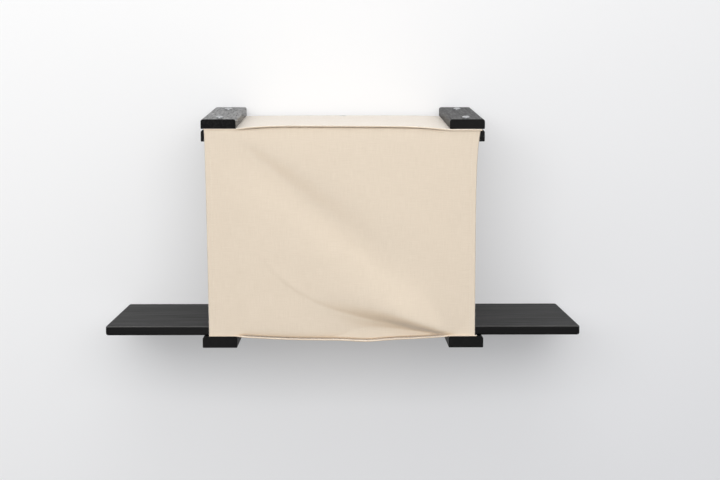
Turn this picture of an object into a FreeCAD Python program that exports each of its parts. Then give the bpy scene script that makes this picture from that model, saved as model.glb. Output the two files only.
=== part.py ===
import FreeCAD, Part
import math
import os

from FreeCAD import Vector

# Fabric cubby bed for a cat, fixed to a wall.
# A canvas sling hangs from two clamped top arms, and a long shelf plank lies in it on two bottom arms.
# Millimetres. The wall is the plane Y = 0, the front faces -Y, X runs to the right and +Z is up.
# The origin is on the wall, at the centre of the four lower wall holes.

# Layout
STUD_SPACING = 406.4          # between the left and the right arms, centre to centre
FRONT_REACH = 279.4           # from the wall to the front end of the arms
CUBBY_HEIGHT = 323.0          # from the shelf to the underside of the top arms, at the wall
TOP_DROOP = 4.0               # degrees that the loaded top arms lean down to the front
HOLES_ABOVE_SHELF = 38.0      # from the shelf to the middle of the lower wall holes

# Wood
ARM_WIDTH = 57.15
ARM_THICKNESS = 19.05
ARM_TOP_ROUND = 4.76
ARM_BOTTOM_ROUND = 1.5
CLAMP_THICKNESS = 15.875
CLAMP_TOP_ROUND = 4.0
CLAMP_BOTTOM_ROUND = 1.6
END_EASE = 0.6                # small bevel along the edges of the sawn ends
PLANK_PAST_ARMS = 188.8       # how far the plank reaches past the middle of each arm
PLANK_THICKNESS = 15.875
PLANK_EDGE_ROUND = 3.2
PLANK_CORNER_EXTRA = 2.8      # how much larger its corners are rounded, seen from above
PLANK_BACK_CLEARANCE = 1.0    # between the plank and the wall legs of the brackets
PLANK_FRONT_CLEARANCE = 0.4   # between the plank and the canvas in front of it

# Canvas
CANVAS_PAST_ARMS = 19.3       # how far the canvas reaches past the middle of each arm
CANVAS_THICKNESS = 1.5
CANVAS_BACK_CLEARANCE = 3.8   # between the back hems and the wall legs of the brackets
CANVAS_FRONT_GAP = 0.3        # between the front panel and the ends of the top arms
SEAM_LIP = 3.0                # how far the top and bottom panels stand out past the front panel
SEAM_GAP = 0.4                # between the front panel and the panels that it is sewn to
TOP_CROWN_FRONT = 3.5         # rise of the top panel between the arms, at its front edge
TOP_CROWN_BACK = 1.0
BOTTOM_SAG_FRONT = 6.0        # sag of the bottom panel between the arms, at its front edge
BOTTOM_SAG_BACK = 2.0

# Folds of the front panel
FOLD_DEPTH = 3.0              # how far the long diagonal fold sinks in
FOLD_START = 0.14             # its height at the left edge, as a share of the panel from the top
FOLD_END = 0.74               # its height at the right edge
PINCH_HEIGHT = 0.90           # height of the short fold above the right bottom arm, as a share from the top
PINCH_CENTRE = 0.55           # its place across the panel, as a share of the half width
PINCH_SPREAD = 0.45           # its half length, as a share of the half width
PANEL_SWELL = 6.0             # outward swell of the cloth between its folds
EDGE_SWELL = 0.3              # outward swell that is left at the side edges
FOLD_SECTIONS = 9             # vertical sections that the front panel passes through

# Steel brackets
BRACKET_WIDTH = 38.1
BRACKET_THICKNESS = 3.2
BRACKET_SETBACK = 50.8        # from the front end of the arms to the end of the legs under them
BRACKET_BEND = 3.2            # inner radius of the bend
BRACKET_CORNER_ROUND = 6.0
WALL_HOLE_DIAMETER = 7.0
WALL_HOLE_SPACING = 38.1
WALL_HOLE_FROM_END = 11.4     # from the last wall hole to the end of the wall leg
TOP_HOLES_BELOW_ARM = 62.0    # from the top arms' underside to the middle of the upper wall holes

# Fasteners
BOLT_DIAMETER = 6.35
BOLT_HEAD_DIAMETER = 13.5
BOLT_HEAD_HEIGHT = 3.4
BOLT_HEAD_RIM = 0.9
BOLT_TIP = 0.8
BOLT_SOCKET = 4.0             # across the flats of the hexagon socket
BOLT_SOCKET_DEPTH = 2.0
BOLT_HOLE_CLEARANCE = 0.65    # on the diameter of the holes that a bolt passes through
THREAD_CLEARANCE = 0.1        # on the diameter, between a bolt and its threaded insert
BOLT_SHORT_OF_END = 2.0       # from the end of a bolt to the far end of its insert
INSERT_DIAMETER = 10.0
INSERT_COVER = 2.9            # wood that is left above an insert in the plank
INSERT_CLEARANCE = 0.1        # on the diameter, and under the insert
CLAMP_BOLT_FROM_FRONT = 34.0
CLAMP_BOLT_FROM_WALL = 55.0
PLANK_BOLT_FROM_WALL = 90.0
PLANK_BOLT_FROM_LEG_END = 23.6
SCREW_DIAMETER = 4.2
SCREW_HEAD_DIAMETER = 8.4
SCREW_HEAD_HEIGHT = 2.1
SCREW_REACH = 12.0            # length of screw in the arm
SCREW_TIP = 3.0
SCREW_CLEARANCE = 0.1         # on the diameter of its holes, and past its tip
SCREW_BEHIND_BOLT = 22.0      # from the rear clamp bolt to the first screw of a bracket

# Grommet in the back hem of the top panel
GROMMET_HOLE = 6.0
GROMMET_TUBE = 0.5
GROMMET_FLANGE = 2.8          # how far its flanges reach past the tube
GROMMET_FLANGE_THICKNESS = 0.6
GROMMET_FROM_HEM = 9.0
GROMMET_CLEARANCE = 0.1

# Places that follow from the sizes above
HALF_SPACING = STUD_SPACING / 2
HALF_CANVAS = HALF_SPACING + CANVAS_PAST_ARMS
HALF_PLANK = HALF_SPACING + PLANK_PAST_ARMS
FREE_HALF_SPAN = HALF_SPACING - ARM_WIDTH / 2
SHELF_Z = -HOLES_ABOVE_SHELF
PLANK_UNDERSIDE_Z = SHELF_Z - PLANK_THICKNESS
BOTTOM_ARM_TOP_Z = PLANK_UNDERSIDE_Z - CANVAS_THICKNESS
BOTTOM_ARM_UNDERSIDE_Z = BOTTOM_ARM_TOP_Z - ARM_THICKNESS
TOP_ARM_UNDERSIDE_Z = SHELF_Z + CUBBY_HEIGHT
TOP_CANVAS_UNDERSIDE = ARM_THICKNESS
CLAMP_UNDERSIDE = TOP_CANVAS_UNDERSIDE + CANVAS_THICKNESS
CLAMP_TOP = CLAMP_UNDERSIDE + CLAMP_THICKNESS
BOTTOM_ARM_BACK = BRACKET_THICKNESS + BRACKET_BEND
PLANK_BACK = BRACKET_THICKNESS + PLANK_BACK_CLEARANCE
PLANK_FRONT = FRONT_REACH - CANVAS_THICKNESS - PLANK_FRONT_CLEARANCE
UPPER_HOLES_Z = TOP_ARM_UNDERSIDE_Z - TOP_HOLES_BELOW_ARM
CANVAS_BACK = BRACKET_THICKNESS + CANVAS_BACK_CLEARANCE
TOP_CANVAS_FRONT = FRONT_REACH + CANVAS_FRONT_GAP + CANVAS_THICKNESS + SEAM_LIP
BRACKET_ARM_LEG = FRONT_REACH - BRACKET_SETBACK
WALL_LEG_PAST_HOLES = WALL_HOLE_SPACING / 2 + WALL_HOLE_FROM_END
INSERT_LENGTH = PLANK_THICKNESS - INSERT_COVER
BOLT_GRIP = INSERT_LENGTH - BOLT_SHORT_OF_END
BOLT_HOLE = BOLT_DIAMETER + BOLT_HOLE_CLEARANCE
CLAMP_BOLTS = {"rear": CLAMP_BOLT_FROM_WALL, "front": FRONT_REACH - CLAMP_BOLT_FROM_FRONT}
PLANK_BOLTS = {"rear": PLANK_BOLT_FROM_WALL, "front": BRACKET_ARM_LEG - PLANK_BOLT_FROM_LEG_END}
SCREWS = (CLAMP_BOLTS["rear"] - SCREW_BEHIND_BOLT, (PLANK_BOLTS["rear"] + PLANK_BOLTS["front"]) / 2)
SIDES = {"left": -HALF_SPACING, "right": HALF_SPACING}

UP = Vector(0, 0, 1)
ACROSS = Vector(1, 0, 0)
TO_WALL = Vector(0, 1, 0)
SAME_PLACE = 1e-6             # places nearer to each other than this are the same


def line(a, b):
    return Part.LineSegment(a, b).toShape()


def arc(a, middle, b):
    return Part.Arc(a, middle, b).toShape()


def rod(diameter, length, base, axis=UP):
    """A cylinder that starts at base and runs along axis."""
    return Part.makeCylinder(diameter / 2, length, base, axis)


def turned(points):
    """A solid of revolution about Z, from an outline of radius and height pairs."""
    corners = [Vector(radius, 0, height) for radius, height in points]
    face = Part.Face(Part.makePolygon(corners + corners[:1]))
    return face.revolve(Vector(0, 0, 0), UP, 360)


def lean(shape):
    """Tips a piece of the top stack forward, about the back lower edge of the top arms."""
    leaned = shape.copy()
    leaned.rotate(Vector(0, 0, TOP_ARM_UNDERSIDE_Z), ACROSS, TOP_DROOP)
    return leaned


def edges_along(shape, direction, y, z):
    """The straight edges of a shape that run along direction through the place (y, z)."""
    found = []
    for edge in shape.Edges:
        start, end = edge.Vertexes[0].Point, edge.Vertexes[-1].Point
        runs_along = (end - start).cross(direction).Length < SAME_PLACE
        if runs_along and math.hypot(start.y - y, start.z - z) < SAME_PLACE:
            found.append(edge)
    return found


def bar_profile(width, thickness, top_round, bottom_round):
    """The end outline of a bar that lies along Y: centred in X, from Z = 0 up."""
    half = width / 2
    corners = [(half, 0, bottom_round), (half, thickness, top_round),
               (-half, thickness, top_round), (-half, 0, bottom_round)]
    edges = []
    ends = []
    for x, z, radius in corners:
        inward_x = -math.copysign(radius, x)
        inward_z = radius if z == 0 else -radius
        along_x = Vector(x + inward_x, 0, z)
        along_z = Vector(x, 0, z + inward_z)
        centre = Vector(x + inward_x, 0, z + inward_z)
        corner = Vector(x, 0, z)
        middle = centre + (corner - centre).normalize() * radius
        first, last = (along_x, along_z) if x * (z - thickness / 2) < 0 else (along_z, along_x)
        edges.append(arc(first, middle, last))
        ends.append((first, last))
    for index, (_, last) in enumerate(ends):
        next_first = ends[(index + 1) % len(ends)][0]
        edges.append(line(last, next_first))
    return Part.Wire(Part.__sortEdges__(edges))


def bar(width, thickness, length, top_round, bottom_round):
    """A wooden bar from Y = 0 to -length, with rounded long edges and eased ends."""
    solid = Part.Face(bar_profile(width, thickness, top_round, bottom_round)).extrude(-TO_WALL * length)
    end_edges = []
    for edge in solid.Edges:
        places = [vertex.Point.y for vertex in edge.Vertexes]
        if max(places) - min(places) < SAME_PLACE:
            end_edges.append(edge)
    return solid.makeChamfer(END_EASE, end_edges)


def bolt(length):
    """A round-head bolt, head up, with the underside of its head at Z = 0."""
    radius = BOLT_DIAMETER / 2
    head = BOLT_HEAD_DIAMETER / 2
    dome_height = BOLT_HEAD_HEIGHT - BOLT_HEAD_RIM
    dome_radius = (head ** 2 + dome_height ** 2) / (2 * dome_height)
    half_way = math.asin(head / dome_radius) / 2
    dome_middle = Vector(dome_radius * math.sin(half_way), 0,
                         BOLT_HEAD_HEIGHT - dome_radius * (1 - math.cos(half_way)))
    top = Vector(0, 0, BOLT_HEAD_HEIGHT)
    rim = Vector(head, 0, BOLT_HEAD_RIM)
    outline = [top, Vector(0, 0, -length), Vector(radius - BOLT_TIP, 0, -length),
               Vector(radius, 0, BOLT_TIP - length), Vector(radius, 0, 0), Vector(head, 0, 0), rim]
    edges = [line(a, b) for a, b in zip(outline, outline[1:])]
    edges.append(arc(rim, dome_middle, top))
    solid = Part.Face(Part.Wire(edges)).revolve(Vector(0, 0, 0), UP, 360)
    across_corners = BOLT_SOCKET / math.cos(math.pi / 6) / 2
    corners = [Vector(across_corners * math.cos(math.radians(60 * k)),
                      across_corners * math.sin(math.radians(60 * k)),
                      BOLT_HEAD_HEIGHT - BOLT_SOCKET_DEPTH) for k in range(7)]
    socket = Part.Face(Part.makePolygon(corners)).extrude(UP * BOLT_HEAD_HEIGHT)
    return solid.cut(socket)


def insert():
    """A threaded insert with its mouth at Z = 0 and its body below."""
    body = rod(INSERT_DIAMETER, INSERT_LENGTH, Vector(0, 0, -INSERT_LENGTH))
    return body.cut(rod(BOLT_DIAMETER + THREAD_CLEARANCE, INSERT_LENGTH, Vector(0, 0, -INSERT_LENGTH)))


def insert_hole(mouth, direction):
    """The hole that an insert sits in, sunk along direction from its mouth."""
    return rod(INSERT_DIAMETER + INSERT_CLEARANCE, INSERT_LENGTH + INSERT_CLEARANCE, mouth, direction)


def wood_screw():
    """A countersunk screw, point up, with the flat of its head at Z = 0."""
    length = BRACKET_THICKNESS + SCREW_REACH
    radius = SCREW_DIAMETER / 2
    return turned([(0, 0), (SCREW_HEAD_DIAMETER / 2, 0), (radius, SCREW_HEAD_HEIGHT),
                   (radius, length - SCREW_TIP), (0, length)])


def screw_hole(flat):
    """The countersunk hole of a wood screw, through a bracket's leg and into the arm above."""
    slack = SCREW_CLEARANCE / 2
    radius = SCREW_DIAMETER / 2 + slack
    end = BRACKET_THICKNESS + SCREW_REACH + SCREW_CLEARANCE
    hole = turned([(0, 0), (SCREW_HEAD_DIAMETER / 2 + slack, 0), (radius, SCREW_HEAD_HEIGHT),
                   (radius, end), (0, end)])
    hole.translate(flat)
    return hole


def top_arm(x):
    """A top arm in the level top stack, with its insert holes above and screw holes below."""
    arm = bar(ARM_WIDTH, ARM_THICKNESS, FRONT_REACH, ARM_TOP_ROUND, ARM_BOTTOM_ROUND)
    arm.translate(Vector(x, 0, TOP_ARM_UNDERSIDE_Z))
    for from_wall in CLAMP_BOLTS.values():
        arm = arm.cut(insert_hole(Vector(x, -from_wall, TOP_ARM_UNDERSIDE_Z + ARM_THICKNESS), -UP))
    for from_wall in SCREWS:
        arm = arm.cut(screw_hole(Vector(x, -from_wall, TOP_ARM_UNDERSIDE_Z - BRACKET_THICKNESS)))
    return arm


def clamp_bar(x):
    """A clamp bar in the level top stack, with its two bolt holes."""
    clamp = bar(ARM_WIDTH, CLAMP_THICKNESS, FRONT_REACH, CLAMP_TOP_ROUND, CLAMP_BOTTOM_ROUND)
    underside = TOP_ARM_UNDERSIDE_Z + CLAMP_UNDERSIDE
    clamp.translate(Vector(x, 0, underside))
    for from_wall in CLAMP_BOLTS.values():
        clamp = clamp.cut(rod(BOLT_HOLE, CLAMP_THICKNESS, Vector(x, -from_wall, underside)))
    return clamp


def bottom_arm(x):
    """A bottom arm, drilled for the plank's bolts and for the bracket's screws."""
    arm = bar(ARM_WIDTH, ARM_THICKNESS, FRONT_REACH - BOTTOM_ARM_BACK, ARM_TOP_ROUND, ARM_BOTTOM_ROUND)
    arm.translate(Vector(x, -BOTTOM_ARM_BACK, BOTTOM_ARM_UNDERSIDE_Z))
    for from_wall in PLANK_BOLTS.values():
        arm = arm.cut(rod(BOLT_HOLE, ARM_THICKNESS, Vector(x, -from_wall, BOTTOM_ARM_UNDERSIDE_Z)))
    for from_wall in SCREWS:
        arm = arm.cut(screw_hole(Vector(x, -from_wall, BOTTOM_ARM_UNDERSIDE_Z - BRACKET_THICKNESS)))
    return arm


def shelf_plank():
    """The long plank, rounded all round, with blind insert holes in its underside."""
    plank = Part.makeBox(2 * HALF_PLANK, PLANK_FRONT - PLANK_BACK, PLANK_THICKNESS,
                         Vector(-HALF_PLANK, -PLANK_FRONT, PLANK_UNDERSIDE_Z))
    upright = [edge for edge in plank.Edges if edge.BoundBox.ZLength > PLANK_THICKNESS / 2]
    plank = plank.makeFillet(PLANK_EDGE_ROUND + PLANK_CORNER_EXTRA, upright)
    rims = [edge for edge in plank.Edges if edge.BoundBox.ZLength < SAME_PLACE]
    plank = plank.makeFillet(PLANK_EDGE_ROUND, rims)
    for x in SIDES.values():
        for from_wall in PLANK_BOLTS.values():
            plank = plank.cut(insert_hole(Vector(x, -from_wall, PLANK_UNDERSIDE_Z), UP))
    return plank


def bent_strip(x, outline, outer_corner, inner_corner, leg_ends):
    """A steel strip bent once: an outline in Y and Z, with its bend and its free corners rounded."""
    corners = [Vector(x - BRACKET_WIDTH / 2, y, z) for y, z in outline]
    strip = Part.Face(Part.makePolygon(corners + corners[:1])).extrude(ACROSS * BRACKET_WIDTH)
    strip = strip.makeFillet(BRACKET_BEND, edges_along(strip, ACROSS, *inner_corner))
    strip = strip.makeFillet(BRACKET_BEND + BRACKET_THICKNESS, edges_along(strip, ACROSS, *outer_corner))
    free_corners = []
    for end, through in leg_ends:
        free_corners += edges_along(strip, through, *end)
    return strip.makeFillet(BRACKET_CORNER_ROUND, free_corners)


def wall_holes(x, middle_z):
    """Drills for the two wall holes of a bracket."""
    heights = (middle_z - WALL_HOLE_SPACING / 2, middle_z + WALL_HOLE_SPACING / 2)
    return [rod(WALL_HOLE_DIAMETER, BRACKET_THICKNESS, Vector(x, -BRACKET_THICKNESS, z), TO_WALL)
            for z in heights]


def top_bracket(x):
    """A bracket under a top arm, with its wall leg hanging down inside the cubby."""
    droop = math.radians(TOP_DROOP)
    out_y, out_z = -math.cos(droop), -math.sin(droop)
    thick = BRACKET_THICKNESS
    top = TOP_ARM_UNDERSIDE_Z
    foot = UPPER_HOLES_Z - WALL_LEG_PAST_HOLES
    inner_run = thick * (1 + math.sin(droop)) / math.cos(droop)
    inner = (-thick, top - thick * math.cos(droop) + inner_run * out_z)
    tip_above = (BRACKET_ARM_LEG * out_y, top + BRACKET_ARM_LEG * out_z)
    tip_below = (tip_above[0] + thick * math.sin(droop), tip_above[1] - thick * math.cos(droop))
    outline = [(0, foot), (0, top), tip_above, tip_below, inner, (-thick, foot)]
    through_leg = Vector(0, math.sin(droop), -math.cos(droop))
    strip = bent_strip(x, outline, (0, top), inner, [((0, foot), TO_WALL), (tip_above, through_leg)])
    for hole in wall_holes(x, UPPER_HOLES_Z):
        strip = strip.cut(hole)
    for from_wall in SCREWS:
        strip = strip.cut(lean(screw_hole(Vector(x, -from_wall, top - thick))))
    return strip


def bottom_bracket(x):
    """A bracket under a bottom arm, with its wall leg standing up behind the plank."""
    thick = BRACKET_THICKNESS
    base = BOTTOM_ARM_UNDERSIDE_Z - thick
    head = WALL_LEG_PAST_HOLES
    outline = [(0, base), (-BRACKET_ARM_LEG, base), (-BRACKET_ARM_LEG, base + thick),
               (-thick, base + thick), (-thick, head), (0, head)]
    ends = [((0, head), TO_WALL), ((-BRACKET_ARM_LEG, base), UP)]
    strip = bent_strip(x, outline, (0, base), (-thick, base + thick), ends)
    for hole in wall_holes(x, 0):
        strip = strip.cut(hole)
    for from_wall in SCREWS:
        strip = strip.cut(screw_hole(Vector(x, -from_wall, base)))
    for from_wall in PLANK_BOLTS.values():
        strip = strip.cut(rod(BOLT_HOLE, thick, Vector(x, -from_wall, base)))
    return strip


def bow(x, rise):
    """Height of the bowed canvas at x: flat over the arms, an arc that rises by rise between them."""
    if abs(x) >= FREE_HALF_SPAN:
        return 0.0
    radius = (FREE_HALF_SPAN ** 2 + rise ** 2) / (2 * rise)
    return math.sqrt(radius ** 2 - x ** 2) - (radius - rise)


def bowed_section(y, z, rise):
    """A cross section of a top or bottom panel: flat ends and a bowed middle, one canvas thick."""
    def points(height):
        return [Vector(-HALF_CANVAS, y, height), Vector(-FREE_HALF_SPAN, y, height),
                Vector(0, y, height + rise),
                Vector(FREE_HALF_SPAN, y, height), Vector(HALF_CANVAS, y, height)]

    def run(places):
        start, left, middle, right, end = places
        return [line(start, left), arc(left, middle, right), line(right, end)]

    low = points(z)
    high = points(z + CANVAS_THICKNESS)[::-1]
    return Part.Wire(run(low) + [line(low[-1], high[0])] + run(high) + [line(high[-1], low[0])])


def canvas_top_panel():
    """The top panel, clamped over the arms and crowned between them, with holes for bolts and grommet."""
    underside = TOP_ARM_UNDERSIDE_Z + TOP_CANVAS_UNDERSIDE
    panel = Part.makeLoft([bowed_section(-TOP_CANVAS_FRONT, underside, TOP_CROWN_FRONT),
                           bowed_section(-CANVAS_BACK, underside, TOP_CROWN_BACK)], True, True)
    for x in SIDES.values():
        for from_wall in CLAMP_BOLTS.values():
            panel = panel.cut(rod(BOLT_HOLE, CANVAS_THICKNESS, Vector(x, -from_wall, underside)))
    eyelet = GROMMET_HOLE + 2 * GROMMET_TUBE + GROMMET_CLEARANCE
    depth = CANVAS_THICKNESS + 2 * TOP_CROWN_FRONT
    panel = panel.cut(rod(eyelet, depth, Vector(0, -CANVAS_BACK - GROMMET_FROM_HEM, underside)))
    return lean(panel)


def canvas_bottom_panel():
    """The bottom panel, held between the plank and the arms and sagging between them."""
    front = FRONT_REACH + SEAM_LIP
    panel = Part.makeLoft([bowed_section(-front, BOTTOM_ARM_TOP_Z, -BOTTOM_SAG_FRONT),
                           bowed_section(-CANVAS_BACK, BOTTOM_ARM_TOP_Z, -BOTTOM_SAG_BACK)], True, True)
    for x in SIDES.values():
        for from_wall in PLANK_BOLTS.values():
            panel = panel.cut(rod(BOLT_HOLE, CANVAS_THICKNESS, Vector(x, -from_wall, BOTTOM_ARM_TOP_Z)))
    return panel


def front_panel_ends(x):
    """The top and the bottom of the front panel's back face at x, each as a place in Y and Z."""
    droop = math.radians(TOP_DROOP)
    reach = FRONT_REACH + CANVAS_FRONT_GAP
    lift = TOP_CANVAS_UNDERSIDE + bow(x, TOP_CROWN_FRONT) - SEAM_GAP
    top_y = -reach * math.cos(droop) - lift * math.sin(droop)
    top_z = TOP_ARM_UNDERSIDE_Z - reach * math.sin(droop) + lift * math.cos(droop)
    bottom_y = -(FRONT_REACH - CANVAS_THICKNESS)
    bottom_z = PLANK_UNDERSIDE_Z - bow(x, BOTTOM_SAG_FRONT) + SEAM_GAP
    return (top_y, top_z), (bottom_y, bottom_z)


def front_panel_section(share):
    """A vertical section of the front panel at a share of its half width: three arcs, one canvas thick."""
    x = share * HALF_CANVAS
    (top_y, top_z), (bottom_y, bottom_z) = front_panel_ends(x)
    swell = EDGE_SWELL + PANEL_SWELL * (1 - share ** 4)
    fold_height = FOLD_START + (FOLD_END - FOLD_START) * (share + 1) / 2
    below_fold = (PINCH_HEIGHT - fold_height) / (1 - fold_height)
    pinch = max(0.0, 1 - ((share - PINCH_CENTRE) / PINCH_SPREAD) ** 2)
    pinch_out = swell * below_fold * (1 - below_fold) * (1 - pinch)
    fold_out = -FOLD_DEPTH * (1 - share ** 2)
    places = [(0, 0), (fold_height, fold_out), (PINCH_HEIGHT, pinch_out), (1, 0)]

    height = top_z - bottom_z

    def surface(offset):
        points = [Vector(x, top_y + down * (bottom_y - top_y) - out - offset, top_z - down * height)
                  for down, out in places]
        middles = [(a + b) / 2 - TO_WALL * swell * (b - a).Length / height
                   for a, b in zip(points, points[1:])]
        return points, middles

    back, back_middles = surface(0)
    face, face_middles = surface(CANVAS_THICKNESS)
    edges = [arc(face[k], face_middles[k], face[k + 1]) for k in range(3)]
    edges.append(line(face[3], back[3]))
    edges += [arc(back[k + 1], back_middles[k], back[k]) for k in (2, 1, 0)]
    edges.append(line(back[0], face[0]))
    return Part.Wire(edges)


def canvas_front_panel():
    """The front panel, drawn in along a long diagonal fold and a short one above the right bottom arm."""
    shares = [2 * k / (FOLD_SECTIONS - 1) - 1 for k in range(FOLD_SECTIONS)]
    return Part.makeLoft([front_panel_section(share) for share in shares], True, False)


def back_hem_grommet():
    """A metal eyelet in the middle of the top panel's back hem."""
    bore = GROMMET_HOLE / 2
    tube = bore + GROMMET_TUBE
    rim = tube + GROMMET_FLANGE
    plate = GROMMET_FLANGE_THICKNESS
    above = CANVAS_THICKNESS + GROMMET_CLEARANCE
    ring = turned([(bore, -plate), (rim, -plate), (rim, 0), (tube, 0), (tube, above),
                   (rim, above), (rim, above + plate), (bore, above + plate)])
    from_wall = CANVAS_BACK + GROMMET_FROM_HEM
    forward = GROMMET_FROM_HEM / (TOP_CANVAS_FRONT - CANVAS_BACK)
    crown = TOP_CROWN_BACK + forward * (TOP_CROWN_FRONT - TOP_CROWN_BACK)
    underside = TOP_ARM_UNDERSIDE_Z + TOP_CANVAS_UNDERSIDE + crown - GROMMET_CLEARANCE / 2
    ring.translate(Vector(0, -from_wall, underside))
    return lean(ring)


def placed(shape, x, from_wall, z, upside_down=False):
    """A fastener moved to its place, turned head down where asked."""
    moved = shape.copy()
    if upside_down:
        moved.rotate(Vector(0, 0, 0), ACROSS, 180)
    moved.translate(Vector(x, -from_wall, z))
    return moved


def clamp_fasteners(side, x):
    """The bolts of a clamp bar and the inserts in the arm below it."""
    nodes = {}
    length = CLAMP_THICKNESS + CANVAS_THICKNESS + BOLT_GRIP
    for place, from_wall in CLAMP_BOLTS.items():
        seat = TOP_ARM_UNDERSIDE_Z + CLAMP_TOP
        mouth = TOP_ARM_UNDERSIDE_Z + ARM_THICKNESS
        nodes[f"{side}_{place}_clamp_bolt"] = lean(placed(bolt(length), x, from_wall, seat))
        nodes[f"{side}_{place}_arm_insert"] = lean(placed(insert(), x, from_wall, mouth))
    return nodes


def plank_fasteners(side, x):
    """The bolts that hold the plank down on a bottom arm, and the inserts in the plank."""
    nodes = {}
    length = BRACKET_THICKNESS + ARM_THICKNESS + CANVAS_THICKNESS + BOLT_GRIP
    for place, from_wall in PLANK_BOLTS.items():
        seat = BOTTOM_ARM_UNDERSIDE_Z - BRACKET_THICKNESS
        nodes[f"{side}_{place}_plank_bolt"] = placed(bolt(length), x, from_wall, seat, True)
        nodes[f"{side}_{place}_plank_insert"] = placed(insert(), x, from_wall, PLANK_UNDERSIDE_Z, True)
    return nodes


def bracket_screws(x, arm_underside):
    """The wood screws that hold one bracket to its arm."""
    screws = [placed(wood_screw(), x, from_wall, arm_underside - BRACKET_THICKNESS)
              for from_wall in SCREWS]
    return Part.makeCompound(screws)


def build():
    """Every piece of the bed, by name."""
    nodes = {
        "shelf_plank": shelf_plank(),
        "canvas_top_panel": canvas_top_panel(),
        "canvas_front_panel": canvas_front_panel(),
        "canvas_bottom_panel": canvas_bottom_panel(),
        "back_hem_grommet": back_hem_grommet(),
    }
    for side, x in SIDES.items():
        nodes[f"{side}_top_arm"] = lean(top_arm(x))
        nodes[f"{side}_clamp_bar"] = lean(clamp_bar(x))
        nodes[f"{side}_bottom_arm"] = bottom_arm(x)
        nodes[f"{side}_top_bracket"] = top_bracket(x)
        nodes[f"{side}_bottom_bracket"] = bottom_bracket(x)
        nodes[f"{side}_top_bracket_screws"] = lean(bracket_screws(x, TOP_ARM_UNDERSIDE_Z))
        nodes[f"{side}_bottom_bracket_screws"] = bracket_screws(x, BOTTOM_ARM_UNDERSIDE_Z)
        nodes.update(clamp_fasteners(side, x))
        nodes.update(plank_fasteners(side, x))
    return nodes


os.makedirs("parts", exist_ok=True)
for name, shape in build().items():
    shape.exportStep(f"parts/{name}.step")
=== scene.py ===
import math
from typing import Callable, NamedTuple

import bpy
import numpy as np
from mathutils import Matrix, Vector, noise


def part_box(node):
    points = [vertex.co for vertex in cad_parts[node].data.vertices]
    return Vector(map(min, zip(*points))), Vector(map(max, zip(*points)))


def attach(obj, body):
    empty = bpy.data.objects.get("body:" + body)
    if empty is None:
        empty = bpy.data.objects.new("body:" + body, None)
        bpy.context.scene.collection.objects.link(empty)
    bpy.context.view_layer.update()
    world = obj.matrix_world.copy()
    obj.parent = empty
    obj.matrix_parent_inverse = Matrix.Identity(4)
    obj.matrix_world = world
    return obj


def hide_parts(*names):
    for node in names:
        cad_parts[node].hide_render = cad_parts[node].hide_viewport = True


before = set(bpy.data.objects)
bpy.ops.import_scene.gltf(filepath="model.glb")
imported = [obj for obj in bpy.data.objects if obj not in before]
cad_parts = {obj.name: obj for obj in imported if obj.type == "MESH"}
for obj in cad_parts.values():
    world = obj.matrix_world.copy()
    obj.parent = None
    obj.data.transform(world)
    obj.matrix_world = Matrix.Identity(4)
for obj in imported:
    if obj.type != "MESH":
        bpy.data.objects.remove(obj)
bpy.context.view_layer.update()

# Metres, in the frame of the part: the wall is Y = 0, the front faces -Y and +Z is up.
X_AXIS, Y_AXIS = 0, 1
MICROMETRES = 6               # decimals

# Camera, as the photograph was taken
CAMERA_PLACE = (0.0005, -2.6807, 0.3228)
CAMERA_PITCH_DOWN = 5.20      # degrees
CAMERA_YAW_RIGHT = 0.654      # degrees
CAMERA_LENS = 73.44           # millimetres
SENSOR_WIDTH = 36.0           # millimetres

# Light
FRONT_LAMP = {"place": (-0.15, -3.0, 0.95), "target": (0.0, -0.15, 0.1), "size": (2.8, 1.1), "power": 52.0}
OVERHEAD_LAMP = {"place": (0.0, -1.3, 2.6), "target": (0.0, -0.2, 0.1), "size": (2.0, 1.4), "power": 11.0}
DOME_BELOW = 0.11             # strength of the surround's light straight from below, and from above
DOME_ABOVE = 0.86
SURROUND = (0.92, 0.925, 0.935)  # colour of the surround where it is seen

# Stage
FLOOR_Z = -0.62
STAGE_HALF = 3.2
FLOOR_FRONT = -2 * STAGE_HALF
FLOOR_BACK = STAGE_HALF
WALL_TOP = 2.6
WALL_BEHIND = 0.0005          # how far the wall lies behind Y = 0
# wall and floor: darkest and lightest colours, spread as a painted falloff of light, and the share of each
# that glows as painted light
WALL_SHADES = ((0.77, 0.775, 0.795), (0.97, 0.97, 0.97))
WALL_GLOW = 0.33
FLOOR_SHADES = ((0.74, 0.74, 0.75), (0.84, 0.84, 0.84))
FLOOR_GLOW = 0.3
PALER_UP = 0.62               # painted falloff of light: how fast the backdrops go from their dark to their light shade, up and to the left
PALER_LEFT = 0.34
PALER_START = 0.42            # how far it has gone at the frame's origin

# Materials: linear colours from dark to light, depths of relief, and radii and colours of worn edges, which
# also carry a painted highlight on edges that face up
STAIN = ((0.0012, 0.0012, 0.0012), (0.0028, 0.0027, 0.0027), (0.0064, 0.0061, 0.0060))
STAIN_RUBBED = (0.0085, 0.0083, 0.0082)
GRAIN_DEPTH = 0.00025
WOOD_EDGE = 0.0018
# worn edges of the arms and bars where they face up: wear and a painted highlight
WOOD_WEAR_AND_HIGHLIGHT = (0.0260, 0.0245, 0.0230)
PLANK_EDGE = 0.0034
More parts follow.
